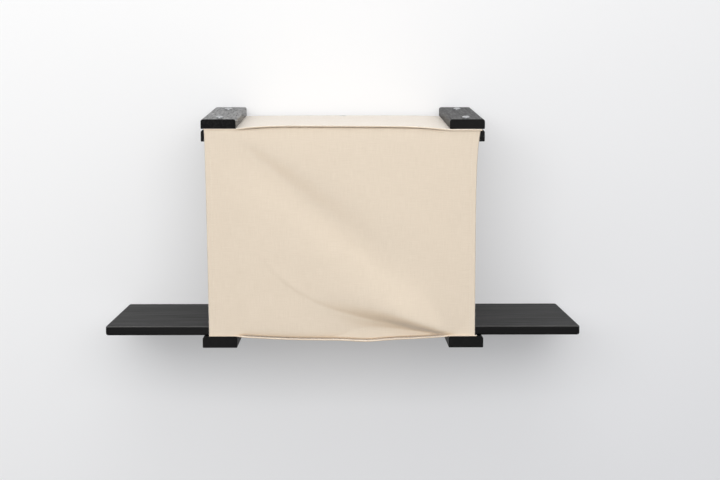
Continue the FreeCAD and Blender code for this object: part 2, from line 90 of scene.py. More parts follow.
# painted highlight along the plank's edges that face up, far paler than its stain
PLANK_EDGE_HIGHLIGHT = (0.1750, 0.1720, 0.1690)
COTTON = ((0.705, 0.602, 0.482), (0.775, 0.672, 0.550))
COTTON_CLOUD = (0.775, 0.655, 0.515)
COTTON_FLECK = (0.330, 0.230, 0.140)
FLECK_SPAN = (0.735, 0.80)    # of the noise, where flecks set in and are full, and the most of their colour
FLECK_SHARE = 0.45
YARN_PITCH = 0.0010
WEAVE_DEPTH = 0.00022
PAINTED_FOLD_SHADE = (0.96, 0.86, 0.74)  # painted shade: darker, warmer tint of cloth in folds and facing down, and the most that is mixed in
PAINTED_SHADE_SHARE = 0.60
FOLD_DISTANCE = 0.030         # within which other cloth makes a fold
FOLD_OPENNESS = (0.97, 0.70)  # of the cloth's surroundings, where that painted shade sets in and is full
FACING_DOWN = (-0.08, -0.40)  # upward part of the cloth's normal, in the same way
THREAD = ((0.72, 0.64, 0.52), (0.84, 0.77, 0.66))
FUZZ_DEPTH = 0.00012
ZINC = ((0.40, 0.41, 0.42), (0.60, 0.61, 0.62))
BRASS = ((0.55, 0.38, 0.16), (0.74, 0.55, 0.27))
NICKEL = ((0.52, 0.50, 0.47), (0.72, 0.70, 0.66))
TURNING_DEPTH = 0.00006
POWDER = ((0.0130, 0.0130, 0.0140), (0.0340, 0.0335, 0.0330))
POWDER_EDGE = 0.0008
# worn edges of the brackets where they face up: wear and a painted highlight
POWDER_WEAR_AND_HIGHLIGHT = (0.1100, 0.1080, 0.1060)
PEEL_DEPTH = 0.00012
PLASTER_DEPTH = 0.0004
EDGE_SQUARE = (0.97, 0.80)    # largest part of a rounded normal where wear and painted highlight set in, and where they are full
HIGHLIGHT_UPWARD = (0.15, 0.45)    # upward part of it, in the same way: only edges that face up get the wear and painted highlight

# Wood that the canvas meets, from the frame. Top and bottom arms have the same section and front ends.
ARM_LOW, ARM_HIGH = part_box("right_bottom_arm")
ARM_INNER = ARM_LOW.x
ARM_FRONT = round(-ARM_LOW.y, MICROMETRES)  # from the wall to the ends of the arms and clamp bars
ARM_THICKNESS = round(ARM_HIGH.z - ARM_LOW.z, MICROMETRES)
BOTTOM_ARM_TOP = ARM_HIGH.z
PLANK_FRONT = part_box("shelf_plank")[0].y
PLANK_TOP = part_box("shelf_plank")[1].z

# The top arms, canvas and clamp bars lean forward together about the arms' back lower edge
TOP_DROOP = math.radians(4.0)
TOP_STACK_BASE = 0.285        # underside of the top arms at the wall

# Canvas
CLOTH = 0.0013
CLOTH_SLOT = 0.0015           # between the arms and what presses the cloth on them
BACK_HEM = 0.0070             # from the wall to the back hems
HEM_WIDTH = 0.0100
HEM_EXTRA = 0.0005            # added thickness of the folded hem
HEM_FADE = HEM_WIDTH / 2      # over which the back hems and the bottom lip thin out beside the arms
TURN_FADE = 2 * HEM_WIDTH     # over which the turns at the seams flatten beside the arms
TOP_LIP = 0.0018              # how far the seams stand out past the front panel
BOTTOM_LIP = 0.0044
LIP_THICKNESS = 0.0021
LIP_EXTRA = LIP_THICKNESS - CLOTH
BOTTOM_LIP_LEFT_DRAW = 0.80   # share of the bottom lip that is drawn in over the left arm, and the right arm
BOTTOM_LIP_RIGHT_DRAW = 0.45
FINE_STEP = 0.0010            # mesh steps beside hems and seams, and elsewhere
STEP = 0.0026

# Top and bottom panels
TOP_HALF_WIDTH = 0.2265
TOP_CROWN_FRONT = 0.0056
TOP_CROWN_BACK = 0.0012
TOP_CROWN_POWER = 4.5         # the higher, the flatter the crown and the steeper beside the bars
TOP_SKEW = 0.0010             # how much the front seam lies higher at the left than at the right
TOP_CORNER_DROP = 0.0011      # how much the lip hangs down at the right, and where that sets in and is full
TOP_CORNER_SPAN = (0.10, 0.18)
BOTTOM_HALF_WIDTH = 0.2205
BOTTOM_SAG_FRONT = 0.0062
BOTTOM_SAG_BACK = 0.0022
BOTTOM_SAG_POWER = 2.4
BOTTOM_DIP = 0.0024           # small extra dip of the bottom seam, right of the middle
BOTTOM_DIP_X = 0.0380
BOTTOM_DIP_WIDTH = 0.0300
BOTTOM_DIP_POWER = 6          # the higher, the nearer the dip keeps to the seam
RIPPLE = 0.0005               # height of soft ripples in both panels
TOP_RIPPLE_SIZES = (0.021, 0.058, 0.13)  # of the short and the long ripples from the wall, and their slant
BOTTOM_RIPPLE_SIZES = (0.024, 0.070, -0.15)
BOTTOM_RIPPLE_START = 1.0     # radians

# Front panel: its sides draw in below the top seam, most and soonest at the right
FRONT_LEFT = -0.2257
FRONT_LEFT_DRAW = 0.0055
FRONT_LEFT_DRAW_POWER = 0.7
FRONT_RIGHT = 0.2240
FRONT_RIGHT_DRAW = 0.0070
FRONT_RIGHT_DRAW_SHARE = 0.12  # of the panel's height, over which most of that happens
FRONT_TOP_Y = -0.2809
FRONT_BOTTOM_Y = -0.2787
FRONT_SWELL = 0.0042
FRONT_SWELL_POWER = 0.6       # the lower, the sooner the panel swells away from its seams
FRONT_SIDE_POWER = 4          # the higher, the nearer the swell comes to the side edges
WRINKLE_HEIGHT = 0.0010
WRINKLE_SIZE = 0.1100
WRINKLE_SEED = 3.7
WRINKLE_FRACTAL = (0.8, 2.1, 3)  # increment, lacunarity and octaves of the noise
WRINKLE_SIDE_SHARE = 0.35     # of the wrinkles' height that is left at the side edges

# The long diagonal fold of the front panel: places across and up. Spans are shares of its length.
VALLEY_START = (-0.2098, 0.2915)
VALLEY_END = (0.2154, -0.0593)
VALLEY_DEPTH = 0.0057
VALLEY_ABOVE = (0.0093, 0.0590)  # width above the fold's line at its start and at its end, and below it
VALLEY_BELOW = (0.0488, 0.0181)
VALLEY_DEEPENS = (0.0, 0.19)
VALLEY_FADES = (0.50, 1.0)
VALLEY_HELD_POWER = 0.5       # the lower, the nearer the fold comes to the seams

# The fold that the right bottom arm pulls, from the arm to the left. Spans are shares of its length.
PULL_START = (0.1710, -0.0534)
PULL_LENGTH = 0.3070
PULL_PAST = 0.2               # how far its line is drawn on past both ends
PULL_RISE = 0.0616            # steady rise of the pull fold over its length
PULL_CURL = 0.0635            # further rise where it turns up at its left end
PULL_CURL_POWER = 5
PULL_BULGE = 0.0202           # swell of the cloth above the crease, and its dip below
PULL_DIP = 0.0091
PULL_BEGINS = (-0.04, 0.05)
PULL_FAN = 2.5                # how much that span widens both ways, for each metre above the crease
PULL_FIRST = 0.40             # strength at the arm, which grows to 1
PULL_GROWS = (0.0, 0.25)
PULL_FADES = (0.165, 0.81)
PULL_ROUND = 0.0008           # rounding of the crease, and how much that grows along it
PULL_ROUND_GAIN = 4
PULL_ROUNDS = (0.12, 0.5)
PULL_RISE_ABOVE = 0.0028      # how fast the cloth swells and dips beside the crease
PULL_RISE_BELOW = 0.0026
PULL_WIDTH_GAIN = 6.15        # how much wider that gets along the crease
PULL_WIDENS = (0.0, 0.6)
PULL_REACH = 0.0644
PULL_CLEARS_SEAM = (0.0, 0.004)  # heights above the bottom seam between which its swell sets in
TAIL_RIDGE = 0.0008           # swell above the thin crease that is left further along
TAIL_RISE = 0.0010
TAIL_BEGINS = (0.25, 0.50)
TAIL_FADES = (0.85, 1.10)

# Turns of the front panel at its seams
BELLY = 0.0034                # swell just above the bottom seam, where the plank's edge pushes
BELLY_ROLL = 0.0055
BELLY_FADE = 0.0900
TUCK_DEPTH = 0.0070           # how far the panel turns in at the bottom seam, below the plank's edge
TUCK_HEIGHT = 0.0038
ROLL_RIGHT_SHARE = 0.55       # of that swell and tuck at the right, and where they grow to the full
ROLL_GROWS = (0.06, -0.10)
TOP_TUCK_DEPTH = 0.0032       # how far the panel turns in under the top seam
TOP_TUCK_HEIGHT = 0.0012
SHOULDER_DEPTH = 0.0017       # how the panel rounds out below the top seam
SHOULDER_HEIGHT = 0.0090

# Thread
STITCH_PITCH = 0.0042
STITCH_LENGTH = 0.0031
STITCH_FROM_EDGE = 0.0085
STITCH_GROOVE = 0.0003        # depth and width of the groove that the stitches pull into a hem
STITCH_GROOVE_WIDTH = 0.0011
STITCH_RINGS = ((-0.5, 0.3, -0.9), (-0.36, 0.9, 0.0), (0.0, 1.0, 0.25), (0.36, 0.9, 0.0), (0.5, 0.3, -0.9))
THREAD_RADIUS = 0.00033
THREAD_SIDES = 6
LIP_ROW_SHARE = 0.6           # of a lip, from its edge to its stitches
TOP_ROW_END = 0.99            # share across at which the stitches of the top seam end
SIDE_ROW_ENDS = (0.012, 0.988)  # shares along the front panel between which its sides are stitched
NEARBY = 1e-4                 # share of a sheet to the places that give its directions at a stitch

# Holes in the cloth
BOLT_HOLE_RADIUS = 0.0035
BOLT_CUT = 0.06               # lengths of the cutters
GROMMET_HOLE_RADIUS = 0.0036
GROMMET_CUT = 0.02
HOLE_SIDES = 32


def new_piece(name, vertices, faces, finish):
    """A new mesh in the scene, with its material."""
    mesh = bpy.data.meshes.new(name)
    mesh.from_pydata(vertices, [], faces)
    mesh.materials.append(finish)
    piece = bpy.data.objects.new(name, mesh)
    bpy.context.scene.collection.objects.link(piece)
    return piece


# Nodes of a material

def new_material(name):
    material = bpy.data.materials.new(name)
    material.use_nodes = True
    tree = material.node_tree
    return material, tree, tree.nodes["Principled BSDF"]


def set_inputs(tree, node, inputs):
    """Sets inputs by name or number, each to a value or to another node's output."""
    for key, value in inputs.items():
        if isinstance(value, bpy.types.NodeSocket):
            tree.links.new(value, node.inputs[key])
        else:
            node.inputs[key].default_value = value


def add(tree, kind, inputs=None, **settings):
    node = tree.nodes.new(kind)
    for key, value in settings.items():
        setattr(node, key, value)
    set_inputs(tree, node, inputs or {})
    return node


def maths(tree, operation, *values):
    return add(tree, "ShaderNodeMath", dict(enumerate(values)), operation=operation).outputs[0]


def weighted_sum(tree, first, first_weight, second, second_weight):
    return maths(tree, "ADD", maths(tree, "MULTIPLY", first, first_weight),
                 maths(tree, "MULTIPLY", second, second_weight))


def axes(tree, vector):
    """The X, Y and Z of a vector."""
    return add(tree, "ShaderNodeSeparateXYZ", {0: vector}).outputs


def remap(tree, value, start, end, low=0.0, high=1.0):
    """A value that goes from start to end, spread from low to high and held there."""
    return add(tree, "ShaderNodeMapRange", {0: value, 1: start, 2: end, 3: low, 4: high}).outputs[0]


def scaled(tree, value, low, high):
    """A value from 0 to 1 spread from low to high."""
    return remap(tree, value, 0.0, 1.0, low, high)


def noise_value(tree, vector, scale, detail=3.0, roughness=0.5):
    """A noise over a vector that is stretched by scale, for each axis."""
    placed = add(tree, "ShaderNodeMapping", {"Vector": vector, "Scale": scale}).outputs[0]
    texture = add(tree, "ShaderNodeTexNoise",
                  {"Vector": placed, "Scale": 1.0, "Detail": detail, "Roughness": roughness})
    return texture.outputs[0]


def ramp(tree, value, places, colours):
    """A colour ramp with a colour at each place, from the lowest place to the highest."""
    node = add(tree, "ShaderNodeValToRGB", {0: value})
    elements = node.color_ramp.elements
    for place in places[1:-1]:
        elements.new(place)
    for element, place, colour in zip(elements, places, colours):
        element.position = place
        element.color = (*colour, 1.0)
    return node.outputs[0]


def mix_colour(tree, share, first, second, blend_type="MIX"):
    """A mix of two colours, which are inputs 6 and 7 of the node, with output 2."""
    node = add(tree, "ShaderNodeMix", data_type="RGBA", blend_type=blend_type)
    for key, value in ((0, share), (6, first), (7, second)):
        if isinstance(value, tuple):
            value = (*value, 1.0)
        set_inputs(tree, node, {key: value})
    return node.outputs[2]


def bump(tree, height, distance, strength):
    return add(tree, "ShaderNodeBump",
               {"Height": height, "Distance": distance, "Strength": strength}).outputs[0]


def object_place(tree):
    return add(tree, "ShaderNodeTexCoord").outputs["Object"]


def edge_wear_and_highlight(tree, radius, patches):
    """How much paler the surface is painted, as wear and as a painted highlight: 0 on flat faces, up to 1 on
    edges that face up, where light catches them, broken up by patches.
    """
    rounded = add(tree, "ShaderNodeBevel", {"Radius": radius}, samples=6).outputs[0]
    x, y, z = axes(tree, rounded)
    sideways = maths(tree, "MAXIMUM", maths(tree, "ABSOLUTE", x), maths(tree, "ABSOLUTE", y))
    squareness = maths(tree, "MAXIMUM", sideways, maths(tree, "ABSOLUTE", z))
    edge = remap(tree, squareness, *EDGE_SQUARE)
    # only edges that face up: the painted highlight part of the mark
    upward = remap(tree, z, *HIGHLIGHT_UPWARD)
    return maths(tree, "MULTIPLY", maths(tree, "MULTIPLY", edge, upward), patches)


def shown(tree):
    """1 for what the camera sees, also in reflections or through something clear, and 0 for other light."""
    path = add(tree, "ShaderNodeLightPath").outputs
    mirrored = maths(tree, "MAXIMUM", path["Is Glossy Ray"], path["Is Transmission Ray"])
    return maths(tree, "MAXIMUM", path["Is Camera Ray"], mirrored)


# Materials

def stained_wood(name, grain_axis, rough, edge_radius=WOOD_EDGE, edge_colour=WOOD_WEAR_AND_HIGHLIGHT):
    """Wood with a near-black satin stain: long grain, pores, paler rubbed patches, and worn edges with a
    painted highlight where they face up.
    """
    material, tree, shader = new_material(name)
    place = object_place(tree)

    def along(long, cross):
        return tuple(long if axis == grain_axis else cross for axis in range(3))

    broad = noise_value(tree, place, along(2.2, 26.0), 4.0, 0.55)
    fibre = noise_value(tree, place, along(9.0, 330.0), 4.0, 0.6)
    pores = noise_value(tree, place, along(38.0, 1500.0), 2.0, 0.5)
    rubbed = noise_value(tree, place, (7.0, 7.0, 7.0), 3.0, 0.6)
    grain = weighted_sum(tree, broad, 0.6, fibre, 0.4)
    stain = ramp(tree, grain, (0.36, 0.50, 0.64), STAIN)
    worn = maths(tree, "MULTIPLY", scaled(tree, rubbed, -0.35, 0.65), 0.5)
    rubbed_stain = mix_colour(tree, worn, stain, STAIN_RUBBED)
    set_inputs(tree, shader, {
        # edges that face up are paler: wear with a painted highlight
        "Base Color": mix_colour(tree, edge_wear_and_highlight(tree, edge_radius, rubbed), rubbed_stain, edge_colour),
        "Roughness": scaled(tree, fibre, rough - 0.20, rough + 0.22),
        "Specular IOR Level": 0.095,
        "Normal": bump(tree, weighted_sum(tree, fibre, 0.6, pores, 0.4), GRAIN_DEPTH, 0.5),
    })
    return material


def canvas():
    """Natural cotton duck: a plain weave, uneven yarns and seed flecks.

    Painted shade: cloth that faces down or lies in a fold is tinted darker and warmer, in place of the light
    that reaches it off other cloth and the floor.
    """
    material, tree, shader = new_material("natural_canvas")
    cloth_place = add(tree, "ShaderNodeTexCoord").outputs["UV"]
    across, along, _ = axes(tree, cloth_place)
    turns = 2 * math.pi / YARN_PITCH
    warp = maths(tree, "SINE", maths(tree, "MULTIPLY", across, turns))
    weft = maths(tree, "SINE", maths(tree, "MULTIPLY", along, turns))
    weave = maths(tree, "MULTIPLY", warp, weft)
    warp_yarns = noise_value(tree, cloth_place, (900.0, 45.0, 1.0), 2.0)
    weft_yarns = noise_value(tree, cloth_place, (45.0, 900.0, 1.0), 2.0)
    yarns = maths(tree, "MULTIPLY", maths(tree, "ADD", warp_yarns, weft_yarns), 0.5)
    cloudy = noise_value(tree, cloth_place, (9.0, 9.0, 9.0), 3.0, 0.55)
    flecks = noise_value(tree, cloth_place, (420.0, 420.0, 1.0), 2.0, 0.5)
    cotton = ramp(tree, yarns, (0.30, 0.70), COTTON)
    clouded = mix_colour(tree, scaled(tree, cloudy, 0.0, 0.30), cotton, COTTON_CLOUD)
    flecked = mix_colour(tree, remap(tree, flecks, *FLECK_SPAN, 0.0, FLECK_SHARE), clouded, COTTON_FLECK)
    # painted shade: occlusion by nearby cloth and a downward normal darken and warm the cloth's colour
    nearby = add(tree, "ShaderNodeAmbientOcclusion", {"Distance": FOLD_DISTANCE}, samples=8, only_local=True)
    in_fold = remap(tree, nearby.outputs["AO"], *FOLD_OPENNESS, 0.0, PAINTED_SHADE_SHARE)
    upward = axes(tree, add(tree, "ShaderNodeNewGeometry").outputs["Normal"])[2]
    faces_down = remap(tree, upward, *FACING_DOWN, 0.0, PAINTED_SHADE_SHARE)
    painted_shade = maths(tree, "MAXIMUM", in_fold, faces_down)
    set_inputs(tree, shader, {
        "Base Color": mix_colour(tree, painted_shade, flecked, PAINTED_FOLD_SHADE, "MULTIPLY"),
        "Roughness": scaled(tree, yarns, 0.82, 0.96),
        "Specular IOR Level": 0.18,
        "Sheen Weight": 0.65,
        "Sheen Roughness": 0.5,
        "Normal": bump(tree, weighted_sum(tree, weave, 0.5, yarns, 1.0), WEAVE_DEPTH, 0.55),
    })
    return material


def thread():
    """Pale twisted cotton thread."""
    material, tree, shader = new_material("cotton_thread")
    place = object_place(tree)
    fuzz = noise_value(tree, place, (2600.0, 2600.0, 2600.0), 2.0)
    set_inputs(tree, shader, {
        "Base Color": ramp(tree, fuzz, (0.3, 0.7), THREAD),
        "Roughness": scaled(tree, fuzz, 0.70, 0.90),
        "Specular IOR Level": 0.25,
        "Normal": bump(tree, fuzz, FUZZ_DEPTH, 0.6),
    })
    return material


def plated_metal(name, shades, rough):
    """Bare or plated metal with fine turning marks and a little tarnish."""
    material, tree, shader = new_material(name)
    place = object_place(tree)
    tarnish = noise_value(tree, place, (160.0, 160.0, 160.0), 4.0, 0.6)
    marks = noise_value(tree, place, (900.0, 900.0, 2400.0), 2.0, 0.5)
    set_inputs(tree, shader, {
        "Base Color": ramp(tree, tarnish, (0.35, 0.65), shades),
        "Metallic": 1.0,
        "Roughness": scaled(tree, tarnish, rough - 0.08, rough + 0.12),
        "Normal": bump(tree, marks, TURNING_DEPTH, 0.5),
    })
    return material


def powder_coat():
    """Black powder coat, with its orange-peel texture, paler rubbed spots, and worn edges with a painted
    highlight where they face up.
    """
    material, tree, shader = new_material("black_powder_coat")
    place = object_place(tree)
    peel = noise_value(tree, place, (900.0, 900.0, 900.0), 2.0, 0.5)
    rubbed = noise_value(tree, place, (45.0, 45.0, 45.0), 4.0, 0.65)
    coat = ramp(tree, rubbed, (0.35, 0.75), POWDER)
    set_inputs(tree, shader, {
        # edges that face up are paler: wear with a painted highlight
        "Base Color": mix_colour(tree, edge_wear_and_highlight(tree, POWDER_EDGE, rubbed), coat, POWDER_WEAR_AND_HIGHLIGHT),
        "Roughness": scaled(tree, peel, 0.42, 0.62),
        "Specular IOR Level": 0.40,
        "Normal": bump(tree, peel, PEEL_DEPTH, 0.5),
    })
    return material


def dress_frame():
    """Gives every CAD piece its material, by the ending of its name."""
    zinc = plated_metal("zinc_plate", ZINC, rough=0.20)
    finishes = {
        "shelf_plank": stained_wood("stained_plank", X_AXIS, 0.50, PLANK_EDGE, PLANK_EDGE_HIGHLIGHT),
        "_arm": stained_wood("stained_arms", Y_AXIS, rough=0.46),
        "left_clamp_bar": stained_wood("stained_left_bar", Y_AXIS, rough=0.25),
        "right_clamp_bar": stained_wood("stained_right_bar", Y_AXIS, rough=0.40),
        "_bracket": powder_coat(),
        "_bolt": zinc,
        "_screws": zinc,
        "_insert": plated_metal("brass", BRASS, rough=0.34),
        "_grommet": plated_metal("nickel", NICKEL, rough=0.26),
    }
    for name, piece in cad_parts.items():
        for ending, finish in finishes.items():
            if name.endswith(ending):
                piece.data.materials.clear()
                piece.data.materials.append(finish)


# Cloth as a thin closed sheet

class Panel(NamedTuple):
    """A panel of cloth. place and thickness take shares across it, from the left, and along it, from the
    front lip to the back hem or down the front."""
    place: Callable
    thickness: Callable
    width: float
    length: float
    outward: int              # 1 where across and along turn anticlockwise when seen from outside, or -1
    rows: list                # of stitches, each a pair of ends as shares across and along
    rests_on: list


def ease(low, high, value):
    """A smooth step from 0 at low to 1 at high."""
    share = np.clip((value - low) / (high - low), 0.0, 1.0)
    return share * share * (3 - 2 * share)


def steps(length):
    """Places from 0 to 1 along a length: close together beside both edges, wider in between."""
    band = HEM_WIDTH + 3 * FINE_STEP
    edge = np.arange(0.0, band, FINE_STEP)
    middle = np.linspace(band, length - band, math.ceil((length - 2 * band) / STEP))
    return np.concatenate([edge, middle, length - edge[::-1]]) / length


def unit(vectors):
    return vectors / np.linalg.norm(vectors, axis=-1, keepdims=True)


def directions(along_u, along_v, outward):
    """Unit normals of a sheet and unit directions along it."""
    return unit(np.cross(along_u, along_v) * outward), unit(along_u), unit(along_v)


def sheet_piece(name, panel, finish):
    """A closed sheet with a rounded rim."""
    u, v = np.meshgrid(steps(panel.width), steps(panel.length), indexing="ij")
    columns, rows = u.shape
    points = panel.place(u, v)
    across, along = np.gradient(points, axis=0), np.gradient(points, axis=1)
    normals, along_u, along_v = directions(across, along, panel.outward)
    half = panel.thickness(u, v)[..., None] / 2
    face = points + normals * half
    back = points - normals * half

    # Its rim, half a thickness outside the edge
    count = columns * rows
    index = np.arange(count).reshape(columns, rows)
    loop = np.concatenate([index[:-1, 0], index[-1, :-1], index[:0:-1, -1], index[0, :0:-1]])
    out = np.zeros_like(points)
    out[0], out[-1] = -along_u[0], along_u[-1]
    out[:, 0] -= along_v[:, 0]
    out[:, -1] += along_v[:, -1]
    rim = (points + out * half).reshape(-1, 3)[loop]

    # Its faces: outside, inside and two rows around the rim
    corners = [index[:-1, :-1], index[1:, :-1], index[1:, 1:], index[:-1, 1:]]
    quads = np.stack(corners, axis=-1).reshape(-1, 4)
    rim_index = 2 * count + np.arange(len(loop))
    onward, rim_onward = np.roll(loop, -1), np.roll(rim_index, -1)
    upper = np.stack([loop, rim_index, rim_onward, onward], axis=-1)
    lower = np.stack([rim_index, loop + count, onward + count, rim_onward], axis=-1)
    faces = np.concatenate([quads, quads[:, ::-1] + count, upper, lower])
    if panel.outward < 0:
        faces = faces[:, ::-1]

    vertices = np.concatenate([face.reshape(-1, 3), back.reshape(-1, 3), rim])
    piece = new_piece(name, vertices.tolist(), faces.tolist(), finish)

    # Its places on the flat cloth, in metres
    flat = np.stack([u * panel.width, v * panel.length], axis=-1).reshape(-1, 2)
    cloth_places = np.concatenate([flat, flat, flat[loop]])
    uv_layer = piece.data.uv_layers.new(name="cloth")
    face_corners = np.zeros(len(piece.data.loops), dtype=np.int32)
    piece.data.loops.foreach_get("vertex_index", face_corners)
    uv_layer.data.foreach_set("uv", cloth_places[face_corners].ravel())
    piece.data.shade_smooth()
    return piece


def hem(distance):
    """Added thickness at a distance from a hemmed edge, with a groove where it is sewn."""
    fold = HEM_EXTRA * (1 - ease(HEM_WIDTH - FINE_STEP, HEM_WIDTH + FINE_STEP, distance))
    return fold - STITCH_GROOVE * np.exp(-((distance - STITCH_FROM_EDGE) / STITCH_GROOVE_WIDTH) ** 2)


def wrinkles(across, along):
    """Random soft wrinkles between about -1 and 1, at places across and along the cloth."""
    heights = [noise.fractal(Vector((a / WRINKLE_SIZE, b / WRINKLE_SIZE, WRINKLE_SEED)), *WRINKLE_FRACTAL)
               for a, b in zip(across.ravel(), along.ravel())]
    return np.array(heights).reshape(across.shape)


def ripples(x, from_wall, sizes, start=0.0):
    """Soft ripples of the top or bottom panel, that run from side to side."""
    short, long, slant = sizes
    return RIPPLE * np.sin(from_wall / short + start) * np.sin(from_wall / long + x / slant)


def span_bow(x, power):
    """1 in the middle between the arms and 0 over them."""
    return np.clip(1 - np.abs(x / ARM_INNER) ** power, 0.0, None)


def between_arms(x, margin):
    """1 between the arms, falling to 0 over a margin beside them."""
    return 1 - ease(ARM_INNER - margin, ARM_INNER, np.abs(x))


def over_arm(x, side):
    """0 between the arms, rising to 1 over the left arm with side -1, or over the right arm with side 1."""
    return ease(ARM_INNER - HEM_WIDTH, ARM_INNER + HEM_WIDTH, side * x)


# Top panel

TOP_FRONT = ARM_FRONT + CLOTH_SLOT + TOP_LIP
TOP_LENGTH = TOP_FRONT - BACK_HEM
TOP_WIDTH = 2 * TOP_HALF_WIDTH


def top_stack(x, from_wall, lift):
    """A place in the leaning top stack, by its height above the arms' underside."""
    y = -from_wall * math.cos(TOP_DROOP) - lift * math.sin(TOP_DROOP)
    z = TOP_STACK_BASE - from_wall * math.sin(TOP_DROOP) + lift * math.cos(TOP_DROOP)
    return np.stack([x, y, z], axis=-1)


def top_crown(x, from_wall):
    """Rise of the top panel above the arms, with a few soft ripples."""
    forward = (from_wall - BACK_HEM) / TOP_LENGTH
    rise = TOP_CROWN_BACK + (TOP_CROWN_FRONT - TOP_CROWN_BACK) * forward
    skew = -TOP_SKEW * forward * x / ARM_INNER
    return span_bow(x, TOP_CROWN_POWER) * (rise + ripples(x, from_wall, TOP_RIPPLE_SIZES) + skew)


def top_place(u, v):
    x = (2 * u - 1) * TOP_HALF_WIDTH
    drawn_in = TOP_LIP * over_arm(x, -1)
    from_wall = TOP_FRONT - v * TOP_LENGTH - drawn_in * (1 - v)
    past_bars = ease(ARM_FRONT, TOP_FRONT, from_wall)
    drop = TOP_CORNER_DROP * past_bars * ease(*TOP_CORNER_SPAN, x)
    lift = ARM_THICKNESS + CLOTH_SLOT / 2 + top_crown(x, from_wall) - drop
    return top_stack(x, from_wall, lift)


def top_thickness(u, v):
    x = (2 * u - 1) * TOP_HALF_WIDTH
    lip = LIP_EXTRA * (1 - ease(TOP_LIP, TOP_LIP + CLOTH, v * TOP_LENGTH))
    return CLOTH + lip + hem((1 - v) * TOP_LENGTH) * between_arms(x, HEM_FADE)


# Bottom panel

BOTTOM_FRONT = ARM_FRONT + BOTTOM_LIP
BOTTOM_LENGTH = BOTTOM_FRONT - BACK_HEM
BOTTOM_WIDTH = 2 * BOTTOM_HALF_WIDTH


def bottom_sag(x, from_wall):
    """Depth of the bottom panel below the arms' tops."""
    forward = (from_wall - BACK_HEM) / BOTTOM_LENGTH
    depth = BOTTOM_SAG_BACK + (BOTTOM_SAG_FRONT - BOTTOM_SAG_BACK) * forward
    rippled = depth + ripples(x, from_wall, BOTTOM_RIPPLE_SIZES, BOTTOM_RIPPLE_START)
    beside_dip = (x - BOTTOM_DIP_X) / BOTTOM_DIP_WIDTH
    dip = BOTTOM_DIP * forward ** BOTTOM_DIP_POWER * np.exp(-beside_dip ** 2)
    return span_bow(x, BOTTOM_SAG_POWER) * rippled + dip


def bottom_place(u, v):
    x = (2 * u - 1) * BOTTOM_HALF_WIDTH
    drawn_share = BOTTOM_LIP_LEFT_DRAW * over_arm(x, -1) + BOTTOM_LIP_RIGHT_DRAW * over_arm(x, 1)
    from_wall = BOTTOM_FRONT - v * BOTTOM_LENGTH - BOTTOM_LIP * drawn_share * (1 - v)
    z = BOTTOM_ARM_TOP + CLOTH_SLOT / 2 - bottom_sag(x, from_wall)
    return np.stack([x, -from_wall, z], axis=-1)


def bottom_thickness(u, v):
    x = (2 * u - 1) * BOTTOM_HALF_WIDTH
    lip = LIP_EXTRA * (1 - ease(BOTTOM_LIP - CLOTH, BOTTOM_LIP, v * BOTTOM_LENGTH))
    return CLOTH + (lip + hem((1 - v) * BOTTOM_LENGTH)) * between_arms(x, HEM_FADE)


# Front panel

FRONT_WIDTH = FRONT_RIGHT - FRONT_LEFT
FRONT_LENGTH = TOP_STACK_BASE - BOTTOM_ARM_TOP


def seam_heights(x):
    """Heights of the front panel's top and bottom edges, just inside the seams' lips."""
    from_wall = ARM_FRONT + CLOTH_SLOT
    lift = ARM_THICKNESS + top_crown(x, from_wall) - LIP_EXTRA / 2
    top = top_stack(x, np.full_like(x, from_wall), lift)[..., 2]
    bottom = BOTTOM_ARM_TOP + CLOTH_SLOT - bottom_sag(x, np.full_like(x, BOTTOM_FRONT))
    return top, bottom


def valley(x, z):
    """The long diagonal fold, from the left clamp bar down to the right, where it widens and fades."""
    start, end = Vector(VALLEY_START), Vector(VALLEY_END)
    length = (end - start).length
    run = (end - start) / length
    along = np.clip(((x - start.x) * run.x + (z - start.y) * run.y) / length, 0.0, 1.0)
    across = (z - start.y) * run.x - (x - start.x) * run.y
    above, below = (first + (last - first) * along for first, last in (VALLEY_ABOVE, VALLEY_BELOW))
    strength = ease(*VALLEY_DEEPENS, along) * (1 - ease(*VALLEY_FADES, along))
    return -VALLEY_DEPTH * strength * np.exp(-(across / np.where(across > 0, above, below)) ** 2)


def pull_fold(x, z):
    """The fold that the right bottom arm pulls: the cloth swells out above a crease and dips below it.
    Further left only a thin crease is left."""
    share = np.clip((PULL_START[0] - x) / PULL_LENGTH, -PULL_PAST, 1 + PULL_PAST)
    crease = PULL_START[1] + PULL_RISE * share + PULL_CURL * np.abs(share) ** PULL_CURL_POWER
    curl_slope = PULL_CURL * PULL_CURL_POWER * np.abs(share) ** (PULL_CURL_POWER - 1)
    slope = (PULL_RISE + curl_slope) / PULL_LENGTH
    above = (z - crease) / np.sqrt(1 + slope ** 2)

    fan = PULL_FAN * np.clip(above, 0.0, None)
    pulled = ease(PULL_BEGINS[0] - fan, PULL_BEGINS[1] + fan, share)
    pulled *= PULL_FIRST + (1 - PULL_FIRST) * ease(*PULL_GROWS, share)
    pulled *= 1 - ease(*PULL_FADES, share)
    creased = ease(*TAIL_BEGINS, share) * (1 - ease(*TAIL_FADES, share))

    widen = 1 + PULL_WIDTH_GAIN * ease(*PULL_WIDENS, share)
    rounding = PULL_ROUND * (1 + PULL_ROUND_GAIN * ease(*PULL_ROUNDS, share))
    away = np.sqrt(above ** 2 + rounding ** 2) - rounding
    reach = np.exp(-away / PULL_REACH)
    swell = PULL_BULGE * (1 - np.exp(-away / (PULL_RISE_ABOVE * widen))) * reach
    dip = -PULL_DIP * (1 - np.exp(-away / (PULL_RISE_BELOW * widen)))
    ridge = TAIL_RIDGE * (1 - np.exp(-away / TAIL_RISE)) * reach
    return np.where(above > 0, pulled * swell + creased * ridge, pulled * dip)


